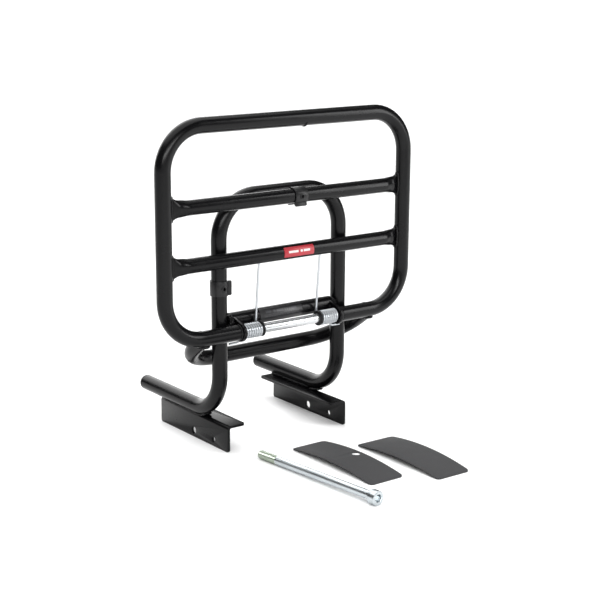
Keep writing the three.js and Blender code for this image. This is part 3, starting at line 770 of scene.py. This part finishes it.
# ---- torsion springs -------------------------------------
# Each is one length of 2.8 mm zinc-plated spring wire. Its tail hooks under the rim's end onto the
# front of the upright, seven turns wind round the rod, and its arm runs up into the lower crossbar.

WIRE_R = 1.4
COIL_R = ROD_R + 0.5 + WIRE_R
COIL_OUTER_X = 65.3
TURNS = 7
HOOK_REACH, HOOK_DROP = 14, 14  # the tail's hook, out from the coil and down from the rod

zinc_wire = finish_material(
    "zinc_wire", (0.38, 0.40, 0.42), (0.50, 0.52, 0.54), rough=(0.24, 0.36),
    bump_mm=0.002, grain_scale=2600.0, cloud_scale=90.0, Metallic=1.0,
)

# A round bead along a path: plain for wire, rippled for a weld, whose ends may taper.
bead_tree = bpy.data.node_groups.new("bead_along_path", "GeometryNodeTree")
face = bead_tree.interface
bead_sockets = {}
face.new_socket("Geometry", in_out="INPUT", socket_type="NodeSocketGeometry")
for title, kind, value in (
    ("Bead Radius", "NodeSocketFloat", 0.0014), ("Step", "NodeSocketFloat", 0.001),
    ("Ripple Pitch", "NodeSocketFloat", 0.0015), ("Ripple Height", "NodeSocketFloat", 0.0),
    ("Unevenness", "NodeSocketFloat", 0.0), ("Taper", "NodeSocketFloat", 0.0),
    ("Sides", "NodeSocketInt", 12), ("Seed", "NodeSocketInt", 1), ("Material", "NodeSocketMaterial", None),
):
    socket = face.new_socket(title, in_out="INPUT", socket_type=kind)
    if value is not None:
        socket.default_value = value
    bead_sockets[title] = socket.identifier
face.new_socket("Geometry", in_out="OUTPUT", socket_type="NodeSocketGeometry")
asked = bead_tree.nodes.new("NodeGroupInput").outputs
answer = bead_tree.nodes.new("NodeGroupOutput")
path = add(bead_tree, "GeometryNodeMeshToCurve", {"Mesh": asked["Geometry"]})
even = add(
    bead_tree, "GeometryNodeResampleCurve", {"Curve": path.outputs[0], "Length": asked["Step"]},
    mode="LENGTH",
)
along = add(bead_tree, "GeometryNodeSplineParameter")
phase = reckon(bead_tree, "DIVIDE", along.outputs["Length"], asked["Ripple Pitch"])
wave = reckon(bead_tree, "SINE", reckon(bead_tree, "MULTIPLY", phase, pi))
scallop = reckon(bead_tree, "ABSOLUTE", wave)
ripple = reckon(bead_tree, "MULTIPLY", scallop, asked["Ripple Height"])
spot = add(bead_tree, "GeometryNodeInputPosition")
wobble = add(
    bead_tree, "ShaderNodeTexNoise", {"Vector": spot.outputs[0], "W": asked["Seed"], "Scale": 260.0},
    noise_dimensions="4D",
)
centred = reckon(bead_tree, "SUBTRACT", wobble.outputs[0], 0.5)
uneven = reckon(bead_tree, "MULTIPLY", centred, asked["Unevenness"])
to_end = reckon(bead_tree, "SUBTRACT", 1.0, along.outputs["Factor"])
nearest_end = reckon(bead_tree, "MINIMUM", along.outputs["Factor"], to_end)
rounding = rescaled(bead_tree, nearest_end, (0.0, 0.12), (0.15, 1.0))
rounded_end = reckon(bead_tree, "POWER", rounding, asked["Taper"])
swell = reckon(bead_tree, "ADD", reckon(bead_tree, "ADD", ripple, uneven), 1.0)
girth = reckon(bead_tree, "MULTIPLY", swell, rounded_end)
section = add(
    bead_tree, "GeometryNodeCurvePrimitiveCircle",
    {"Resolution": asked["Sides"], "Radius": asked["Bead Radius"]},
)
swept = add(bead_tree, "GeometryNodeCurveToMesh", {
    "Curve": even.outputs[0], "Profile Curve": section.outputs[0], "Scale": girth, "Fill Caps": True,
})
real = add(bead_tree, "GeometryNodeRealizeInstances", {0: swept.outputs[0]})
coated = add(
    bead_tree, "GeometryNodeSetMaterial", {"Geometry": real.outputs[0], "Material": asked["Material"]},
)
bead_tree.links.new(coated.outputs[0], answer.inputs[0])


def bead(name, paths, material, cyclic=False, **sizes):
    """One mesh of beads along each path, which is a row of points in millimetres."""
    points, edges = [], []
    for row in paths:
        base, count = len(points), len(row)
        points += [(x * MM, y * MM + HINGE_Y, z * MM) for x, y, z in row]
        edges += [(base + k, base + (k + 1) % count) for k in range(count if cyclic else count - 1)]
    mesh = bpy.data.meshes.new(name + "_path")
    mesh.from_pydata(points, edges, [])
    raw = link(bpy.data.objects.new(name + "_path", mesh))
    nodes = raw.modifiers.new("bead", "NODES")
    nodes.node_group = bead_tree
    nodes[bead_sockets["Material"]] = material
    for title, value in sizes.items():
        nodes[bead_sockets[title.replace("_", " ")]] = value
    return baked(raw, name, material)


for side, name in LEFT_AND_RIGHT:
    hook_y = MAST_Y - TUBE_R - 0.4 - WIRE_R
    hook_z = HINGE_Z - HOOK_DROP
    corner = [
        (COIL_OUTER_X + HOOK_REACH, hook_y, hook_z), (COIL_OUTER_X + 4, hook_y, hook_z),
        (COIL_OUTER_X + 2.2, hook_y, hook_z + 0.4), (COIL_OUTER_X + 0.8, hook_y - 0.1, hook_z + 1.6),
        (COIL_OUTER_X, hook_y - 0.2, hook_z + 3.6), (COIL_OUTER_X, hook_y - 0.5, HINGE_Z - 3),
    ]
    steps = TURNS * 40
    coil = [
        (
            COIL_OUTER_X + (ARM_X - COIL_OUTER_X) * i / steps,
            COIL_R * cos(2 * pi * TURNS * i / steps),
            HINGE_Z + COIL_R * sin(2 * pi * TURNS * i / steps),
        )
        for i in range(steps + 1)
    ]
    arm_top = LOWER_Z - BAR_R + 5
    arm = [
        (ARM_X, COIL_R * (1 - share ** 1.15), HINGE_Z + (arm_top - HINGE_Z) * share)
        for share in (0.03, 0.08, 0.2, 0.4, 0.6, 0.8, 1.0)
    ]
    path_points = [(side * x, y, z) for x, y, z in corner + coil + arm]
    spring = bead(f"spring_{name}", [path_points], zinc_wire, Bead_Radius=WIRE_R * MM, Step=0.0009, Sides=12)
    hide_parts(f"spring_tail_{name}", f"spring_arm_{name}")
    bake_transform(spring)

# ---- welds -----------------------------------------------
# Rippled electric welds wherever two steel pieces meet, painted over with the rest: round each
# crossbar's blade and each hoop leg, along the rails on their brackets, and at the hinge.


def weld(name, body, paths, radius, seed, cyclic=False):
    """Beads of one radius along paths in millimetres. A closed bead keeps its girth; an open one tapers."""
    piece = bead(
        name, paths, powder_coat, cyclic, Bead_Radius=radius * MM, Step=0.00035, Ripple_Pitch=0.0016,
        Ripple_Height=0.22, Unevenness=0.5, Taper=0.0 if cyclic else 0.5, Sides=12, Seed=seed,
    )
    settle(piece, body)


BLADE_BEAD_HALF_Y, BLADE_BEAD_HALF_Z = 2.4, 13.2
blade_loops = []
for z in (LOWER_Z, UPPER_Z):
    for side in (-1, 1):
        loop = []
        for a in full_turn(56):
            c, s = cos(a), sin(a)
            y = BLADE_BEAD_HALF_Y * math.copysign(abs(c) ** 0.6, c)
            x = SIDE_X - math.sqrt(TUBE_R ** 2 - y * y) - 0.5
            loop.append((side * x, y, z + BLADE_BEAD_HALF_Z * s))
        blade_loops.append(loop)
weld("weld_blades", "carrier", blade_loops, radius=1.5, seed=3, cyclic=True)

leg_loops = []
for side in (-1, 1):
    loop = []
    for a in full_turn(64):
        over, out = (TUBE_R + 0.4) * sin(a), (TUBE_R + 0.4) * cos(a)
        reach = math.sqrt(max(0.0, (TUBE_R + 0.9) ** 2 - over ** 2))
        x, y, z = hoop_point(reach, side * HOOP_X + out)
        loop.append((x, y + over * sin(HOOP_DROP), z + over * cos(HOOP_DROP)))
    leg_loops.append(loop)
weld("weld_hoop", "carrier", leg_loops, radius=1.6, seed=5, cyclic=True)

# The rails are welded along both sides of the flange and run out in a lump at the front.
rail_seams = []
for side in (-1, 1):
    for out, start, length, up in ((-6.2, 66, 76, 1.5), (1.2, 52, 88, 0.2)):
        rail_seams.append([
            (side * (UPRIGHT_X + out), BRACKET_FRONT + start + length * k / 60, BRACKET_HEIGHT + up)
            for k in range(61)
        ])
weld("weld_rails", "mast", rail_seams, radius=2.3, seed=7)

heel_r = BEND_R + TUBE_R - 0.2  # under the bend, just inside the tube's skin
heel_seams = [
    [
        (
            side * (UPRIGHT_X - 3) + across_x, MAST_Y + BEND_R - heel_r * sin(a),
            RAIL_Z + BEND_R - heel_r * cos(a) - 0.2,
        )
        for a in part_turn(3, 17, 12)
    ]
    for side in (-1, 1) for across_x in (-3.6, 0, 3.6)
]
weld("weld_heels", "mast", heel_seams, radius=1.7, seed=9)


def round_a_bar(x, bar_y, bar_z, radius, angles):
    """A path round a bar that lies along x."""
    return [(x, bar_y + radius * cos(a), bar_z + radius * sin(a)) for a in angles]


# The cross tube stops short of the uprights, so a heavy bead bridges the gap below and behind.
bridge_seams, ear_seams = [], []
for side in (-1, 1):
    for radius, at_x in ((8.6, CROSS_END + 0.3), (7.4, CROSS_END + 2.2)):
        bridge_seams.append(round_a_bar(side * at_x, MAST_Y, CROSS_Z, radius, part_turn(-250, 265, 34)))
    for face_x in (EAR_OUTER - EAR_SHEET - 0.4, EAR_OUTER + 0.4):
        ear_seams.append(round_a_bar(side * face_x, MAST_Y, CROSS_Z, 9.5, part_turn(178, 70, 24)))
weld("weld_cross_tube", "mast", bridge_seams, radius=2.1, seed=11)
weld("weld_ears", "mast", ear_seams, radius=1.3, seed=13)

# A short cross bead shows under the rim's top bar.
BUTT_X = 18.0
butt = round_a_bar(BUTT_X, 0, CARRIER_TOP, TUBE_R + 0.2, part_turn(-150, 120, 20))
weld("weld_top_bar", "carrier", [butt], radius=0.9, seed=15)

# ---- clips -----------------------------------------------
# Two moulded black plastic bands with flared lips, snapped over the left upright and the upper
# crossbar so that the bars do not rattle. Each has a round eye with a raised rim in front.

CLIP_WALL, CLIP_LENGTH, CLIP_LIP, EYE_R = 1.2, 17.0, 4.0, 1.8
CLIP_HALF_MOUTH = radians(38)


def along_profile(profile):
    """The arc length at each point of a profile, and the place on it at any arc length."""
    lengths = [0.0]
    for one, other in zip(profile, profile[1:]):
        lengths.append(lengths[-1] + math.dist(one, other))
    firsts, seconds = zip(*profile)
    return lengths, lambda u: [float(np.interp(u, lengths, values)) for values in (firsts, seconds)]


def clip(name, bar_r, seat, body, node):
    """A band about a bar; seat turns a place in the band's section, and one along it, into x, y, z."""
    middle_r = bar_r + 0.3 + CLIP_WALL / 2
    arc = [CLIP_HALF_MOUTH + (2 * pi - 2 * CLIP_HALF_MOUTH) * k / 40 for k in range(41)]
    band = [(middle_r * cos(a), middle_r * sin(a)) for a in arc]
    lip_x, lip_y = band[0][0] + CLIP_LIP, band[0][1] + CLIP_LIP * 0.45
    near = (band[0][0] + CLIP_LIP * 0.4, band[0][1] + CLIP_LIP * 0.05)
    profile = [(lip_x, lip_y), near] + band + [(near[0], -near[1]), (lip_x, -lip_y)]
    lengths, on = along_profile(profile)
    eye_at = lengths[2] + middle_r * (radians(270) - CLIP_HALF_MOUTH)
    half = CLIP_LENGTH / 2
    outline = rounded([(0, -half), (lengths[-1], -half), (lengths[-1], half), (0, half)], 2.0)
    piece = sheet_piece(
        name, outline, [circle(eye_at, 0, EYE_R, 24)], lengths[1:-1],
        lambda u, v: seat(*on(u), v), CLIP_WALL, black_plastic, 0.3,
    )
    settle(piece, body, [node])
    face_y = middle_r + CLIP_WALL / 2
    rim = [(-face_y + 0.3, EYE_R), (-face_y + 0.3, EYE_R + 1.6), (-face_y - 0.5, EYE_R + 1.4),
           (-face_y - 0.8, EYE_R + 0.9), (-face_y - 0.8, EYE_R + 0.4), (-face_y - 0.5, EYE_R)]
    eye = placed(turned(rim, 32, True), Matrix.Translation(seat(0, 0, 0)))
    make(f"{name}_eye", eye, black_plastic, body)


MAST_CLIP_Z, BAR_CLIP_X = HINGE_Z + 50, 10
clip("clip_mast", TUBE_R, lambda p, q, v: (-UPRIGHT_X + p, MAST_Y + q, MAST_CLIP_Z + v), "mast", "mast_clip")
clip("clip_crossbar", BAR_R, lambda p, q, v: (BAR_CLIP_X + v, q, UPPER_Z - p), "carrier", "crossbar_clip")

# ---- labels ----------------------------------------------
# Two printed film labels wrapped on the fronts of the bars: a red notice on the lower crossbar and a
# dull grey plate on the cross tube. Their print is plain dashes that stand for no real words.

dashes, given, result = shader_group(
    "row_of_print", ("Mark",), U=0.0, V=0.0, centre=0.0, half_height=1.0, pitch=1.0, fill=0.7,
    half_length=10.0, seed=1.0,
)
off = reckon(dashes, "ABSOLUTE", reckon(dashes, "SUBTRACT", given["U"], given["centre"]))
in_row = reckon(dashes, "LESS_THAN", off, given["half_height"])
in_length = reckon(dashes, "LESS_THAN", reckon(dashes, "ABSOLUTE", given["V"]), given["half_length"])
cell = reckon(dashes, "FLOOR", reckon(dashes, "DIVIDE", given["V"], given["pitch"]))
keyed = reckon(dashes, "ADD", cell, given["seed"])
chance = add(dashes, "ShaderNodeTexWhiteNoise", {"W": keyed}, noise_dimensions="1D")
inked = reckon(dashes, "LESS_THAN", chance.outputs["Value"], given["fill"])
mark = reckon(dashes, "MULTIPLY", reckon(dashes, "MULTIPLY", in_row, in_length), inked)
dashes.links.new(mark, result.inputs["Mark"])


PRINT_FIELDS = ("centre", "half_height", "pitch", "fill", "half_length", "seed")


def label_material(name, film, ink, rows):
    """A film with rows of dashes, each row given by its print fields in millimetres."""
    material, tree, shader = blank_material(name)
    flat = add(tree, "ShaderNodeAttribute", attribute_name="blank")
    parts = add(tree, "ShaderNodeSeparateXYZ", {0: flat.outputs["Vector"]})
    base = add(tree, "ShaderNodeGroup", node_tree=break_up)
    colour = mixed(tree, base.outputs["Cloud"], tuple(c * 0.88 for c in film), film)
    for values in rows:
        row = add(tree, "ShaderNodeGroup", node_tree=dashes)
        tree.links.new(parts.outputs[0], row.inputs["U"])
        tree.links.new(parts.outputs[1], row.inputs["V"])
        for title, value in zip(PRINT_FIELDS, values):
            row.inputs[title].default_value = value
        colour = mixed(tree, row.outputs["Mark"], colour, ink)
    tree.links.new(colour, shader.inputs["Base Color"])
    tree.links.new(clouded(tree, base, 0.30, 0.44), shader.inputs["Roughness"])
    roughened(tree, shader, base.outputs["Grain"], 0.006)
    return material


red_label = label_material(
    "red_label", (0.35, 0.016, 0.026), (0.56, 0.54, 0.53),
    [(0.0, 1.25, 1.5, 0.74, 16.5, 3.0)],
)
grey_label = label_material(
    "grey_label", (0.0075, 0.0075, 0.0085), (0.030, 0.030, 0.034),
    [
        (3.4, 1.6, 1.6, 0.70, 22.0, 11.0), (0.2, 0.6, 0.9, 0.68, 25.0, 41.0),
        (-2.2, 0.6, 0.9, 0.68, 25.0, 71.0),
    ],
)


def label(name, bar_r, bar_y, bar_z, middle_x, length, span_deg, material, body, node):
    """A film round the front of a bar: u runs up round it from its middle, v runs along it."""
    film_r = bar_r + 0.3
    half_u, half_v = film_r * radians(span_deg) / 2, length / 2
    outline = rounded([(-half_u, -half_v), (half_u, -half_v), (half_u, half_v), (-half_u, half_v)], 1.2)

    def lay(u, v):
        a = radians(170) - u / film_r
        return middle_x + v, bar_y + film_r * cos(a), bar_z + film_r * sin(a)

    creases = [half_u * (k / 9 - 1) for k in range(1, 18)]
    piece = sheet_piece(name, outline, [], creases, lay, 0.3, material, 0.08)
    settle(piece, body, [node])


label("notice", BAR_R, 0, LOWER_Z, middle_x=7, length=42, span_deg=80, material=red_label,
      body="carrier", node="load_label")
label("plate", TUBE_R, MAST_Y, CROSS_Z, middle_x=-4.5, length=60, span_deg=110, material=grey_label,
      body="mast", node="maker_label")

# ---- mounting bolt ---------------------------------------
# Loose zinc-plated M10 cap screw with a hexagon socket, lying on its tip and on its head's rim. Its
# shank is plain but for the last 30 mm, which carries a real helical thread.

BOLT_R, BOLT_LENGTH, BOLT_HEAD_R, BOLT_HEAD = 5.0, 180.0, 8.0, 10.0
THREAD_LENGTH, PITCH, THREAD_DEPTH = 30.0, 1.5, 0.85
SOCKET_R, SOCKET_DEPTH = 4.6, 5.0
TIP_X, TIP_Y, BOLT_TURN = -66, -34, radians(4.6)

zinc_bolt = finish_material(
    "zinc_bolt", (0.46, 0.50, 0.52), (0.54, 0.58, 0.60), rough=(0.26, 0.34),
    bump_mm=0.0008, grain_scale=1900.0, cloud_scale=40.0, Metallic=1.0,
)
# The rolled thread keeps a greenish passivated cast.
tree = zinc_bolt.node_tree
shader = tree.nodes["Principled BSDF"]
plain_zinc = shader.inputs["Base Color"].links[0].from_socket
where = add(tree, "ShaderNodeTexCoord").outputs["Object"]
tip_at = (TIP_X * MM, HINGE_Y + TIP_Y * MM, BOLT_R * MM)
from_tip = add(tree, "ShaderNodeVectorMath", {0: where, 1: tip_at}, operation="DISTANCE")
thread_ends = ((THREAD_LENGTH - 0.5) * MM, (THREAD_LENGTH + 0.5) * MM)
on_thread = rescaled(tree, from_tip.outputs["Value"], thread_ends, (1.0, 0.0))
tree.links.new(mixed(tree, on_thread, plain_zinc, (0.36, 0.41, 0.34)), shader.inputs["Base Color"])


def hexagon(corner_r, a):
    """A hexagon's radius at an angle."""
    return corner_r * cos(pi / 6) / cos(a % (pi / 3) - pi / 6)


def threaded(along, a):
    """The shank's radius with the thread cut in, which starts at the tip and runs out over a turn."""
    phase = (along / PITCH - a / (2 * pi)) % 1.0
    groove = min(1.0, max(0.0, abs(2 * phase - 1) * 1.3 - 0.12))
    chamfer = max(0.0, 1.0 - along)
    run_out = 1 - eased(along, THREAD_LENGTH - PITCH, THREAD_LENGTH)
    return BOLT_R - chamfer - THREAD_DEPTH * groove * run_out * eased(along, 0, PITCH)


top = BOLT_LENGTH + BOLT_HEAD
rows = [(PITCH * k / 8, threaded) for k in range(int(THREAD_LENGTH / PITCH * 8) + 1)]
rows += [(along, lambda _, a, r=r: r) for along, r in (
    (BOLT_LENGTH - 0.8, BOLT_R), (BOLT_LENGTH, BOLT_R + 0.6), (BOLT_LENGTH, BOLT_HEAD_R - 0.4),
    (BOLT_LENGTH + 0.4, BOLT_HEAD_R), (top - 0.9, BOLT_HEAD_R), (top - 0.25, BOLT_HEAD_R - 0.35),
    (top, BOLT_HEAD_R - 1.0),
)]
rows += [(along, lambda _, a, r=r: hexagon(r, a)) for along, r in (
    (top, SOCKET_R + 0.3), (top - 0.3, SOCKET_R), (top - SOCKET_DEPTH, SOCKET_R),
)]
bolt_rings = [[(r(y, a) * cos(a), y, r(y, a) * sin(a)) for a in full_turn(96)] for y, r in rows]
rise = math.asin((BOLT_HEAD_R - BOLT_R) / (BOLT_LENGTH - 1))
lie = (
    Matrix.Translation((TIP_X, TIP_Y, BOLT_R * cos(rise) - sin(rise)))
    @ Matrix.Rotation(BOLT_TURN, 4, "Z")
    @ Matrix.Rotation(-rise, 4, "X")
    @ Matrix.Rotation(pi, 4, "Z")
)
make("bolt", placed(skin(bolt_rings, False), lie), zinc_bolt, "mounting_bolt", ["mounting_bolt"])

# ---- pads ------------------------------------------------
# Two loose strips of 1.6 mm matte rubber sheet, bowed a little along their length, standing on their
# short edges. One has a bolt hole beside its middle; the other is a little wider at its far end.

PAD_SHEET, PAD_RISE = 1.6, 6.0
rubber_pad = finish_material(
    "rubber_pad", (0.030, 0.030, 0.031), (0.046, 0.046, 0.048), rough=(0.70, 0.86),
    bump_mm=0.05, grain_scale=1300.0, cloud_scale=45.0, Specular_IOR_Level=0.3,
)


def pad(name, far_width, near_width, length, at_x, at_y, turn_deg, holes):
    """A bowed strip: u runs along the bow to its far end, v runs across. Its length is the bow's chord."""
    half = length / 2
    inner_r = (half ** 2 + PAD_RISE ** 2) / (2 * PAD_RISE)
    middle_r = inner_r + PAD_SHEET / 2
    half_u = middle_r * math.asin(half / middle_r)
    near, far = near_width / 2, far_width / 2
    outline = rounded([(-half_u, -near), (half_u, -far), (half_u, far), (-half_u, near)], 5.0)
    spin = Matrix.Rotation(radians(turn_deg), 2)

    def lay(u, v):
        a = u / middle_r
        x, y = spin @ Vector((v, middle_r * sin(a)))
        return at_x + x, at_y + y, PAD_RISE - inner_r + middle_r * cos(a)

    creases = [half_u * (k / 12 - 1) for k in range(1, 24)]
    piece = sheet_piece(f"pad_{name}", outline, holes, creases, lay, PAD_SHEET, rubber_pad, 0.35)
    settle(piece, f"{name}_pad", [f"{name}_pad"])


pad("holed", far_width=47, near_width=47, length=143, at_x=2.7, at_y=-103.5, turn_deg=0,
    holes=[circle(2, 15.5, 5, 36)])
pad("plain", far_width=54, near_width=47, length=139, at_x=73.5, at_y=-136, turn_deg=-0.9, holes=[])
